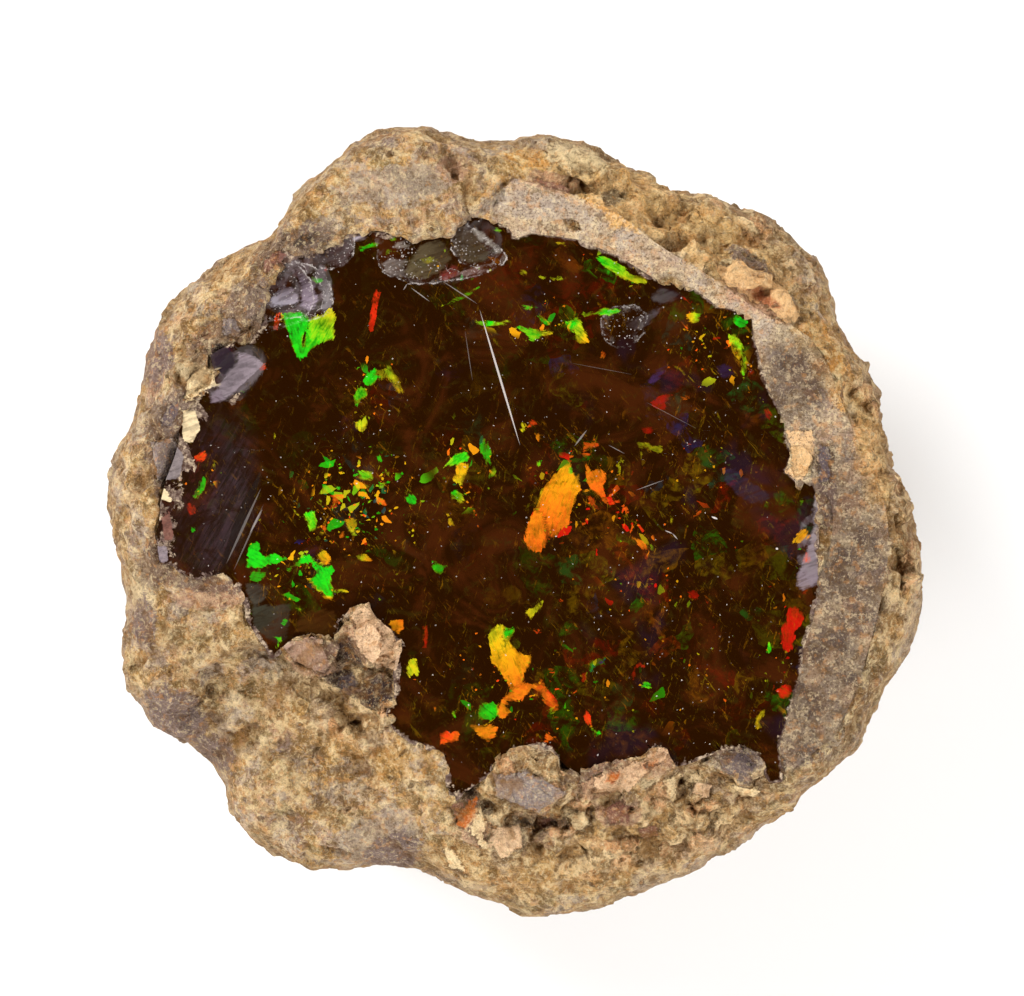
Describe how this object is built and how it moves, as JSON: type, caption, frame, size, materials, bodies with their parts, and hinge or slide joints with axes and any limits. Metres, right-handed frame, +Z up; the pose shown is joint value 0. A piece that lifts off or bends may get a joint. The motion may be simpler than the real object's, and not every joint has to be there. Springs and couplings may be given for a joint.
{
  "type": "opal nodule",
  "caption": "Half of a natural opal nodule: a rough tan volcanic rind round a dark glassy precious-opal core with a ground flat face and chipped rim.",
  "frame": {"origin": "middle of the nodule's footprint, on the small flat underneath that it rests on", "axes": "+Z up out of the ground face, +X to the right and +Y to the top of the face as pictured from above"},
  "size_m": [0.0654, 0.0635, 0.0313],
  "materials": {
    "rind_rock": "rough grainy volcanic rock, tan to ochre with grey patches; ground flat but not polished beside the opal",
    "precious_opal": "glossy dark brown precious opal with green, yellow, orange and red play of colour; shell-like fractures at the rim"
  },
  "bodies": {
    "root": {"rind": "rind_rock", "opal": "precious_opal"}
  },
  "joints": []
}
